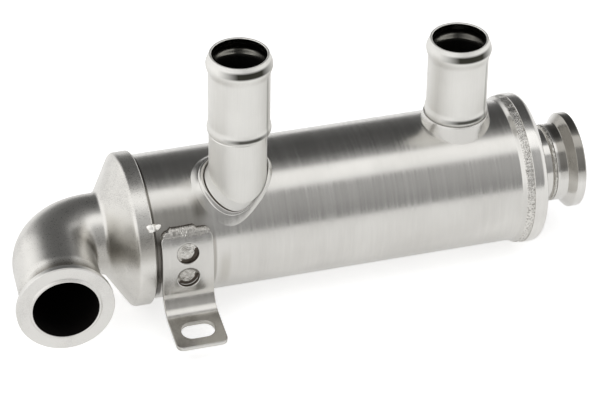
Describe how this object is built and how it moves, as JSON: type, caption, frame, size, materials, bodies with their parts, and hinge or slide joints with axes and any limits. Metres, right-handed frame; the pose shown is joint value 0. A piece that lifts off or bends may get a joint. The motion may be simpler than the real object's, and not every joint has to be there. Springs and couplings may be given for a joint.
{
  "type": "egr cooler",
  "caption": "Shell and tube exhaust gas cooler with a cast elbow inlet, coned outlet clamp flange, beaded coolant pipes and a slotted mounting bracket.",
  "frame": {"origin": "underside of the mounting bracket's foot, on the solid strip between the slot and the foot's free end", "axes": "+X along the body from the gas inlet end to the gas outlet; +Z along the coolant pipes towards their free ends; the gas inlet flange and the bracket face -Y"},
  "size_m": [0.2514, 0.0878, 0.1172],
  "materials": {
    "rolled_steel": "stainless sheet and tube, fine brushing round the body",
    "cast_steel": "investment-cast stainless, bead-blasted, machined on the flange face",
    "polished_steel": "drawn stainless tube with a satin polish",
    "weld_metal": "rippled weld metal, cleaned, with slight heat tint",
    "inner_steel": "mill-finish stainless inside the shell"
  },
  "bodies": {
    "root": {"shell": "rolled_steel", "outlet_cap": "rolled_steel", "outlet_neck": "rolled_steel", "outlet_flange": "rolled_steel", "mounting_bracket": "rolled_steel", "inlet_casting": "cast_steel", "inlet_flange": "cast_steel", "coolant_pipe_long": "polished_steel", "coolant_pipe_short": "polished_steel", "shell_end_weld": "weld_metal", "outlet_neck_weld": "weld_metal", "bracket_edge_weld": "weld_metal", "skirt_tack_weld": "weld_metal", "plug_weld_lower": "weld_metal", "plug_weld_upper": "weld_metal", "tube_sheet_inlet": "inner_steel", "tube_sheet_outlet": "inner_steel", "baffle_1": "inner_steel", "baffle_2": "inner_steel", "gas_tube_01": "inner_steel", "gas_tube_02": "inner_steel", "gas_tube_03": "inner_steel", "gas_tube_04": "inner_steel", "gas_tube_05": "inner_steel", "gas_tube_06": "inner_steel", "gas_tube_07": "inner_steel", "gas_tube_08": "inner_steel", "gas_tube_09": "inner_steel", "gas_tube_10": "inner_steel", "gas_tube_11": "inner_steel", "gas_tube_12": "inner_steel", "gas_tube_13": "inner_steel", "gas_tube_14": "inner_steel", "gas_tube_15": "inner_steel", "gas_tube_16": "inner_steel", "gas_tube_17": "inner_steel", "gas_tube_18": "inner_steel", "gas_tube_19": "inner_steel"}
  },
  "joints": []
}
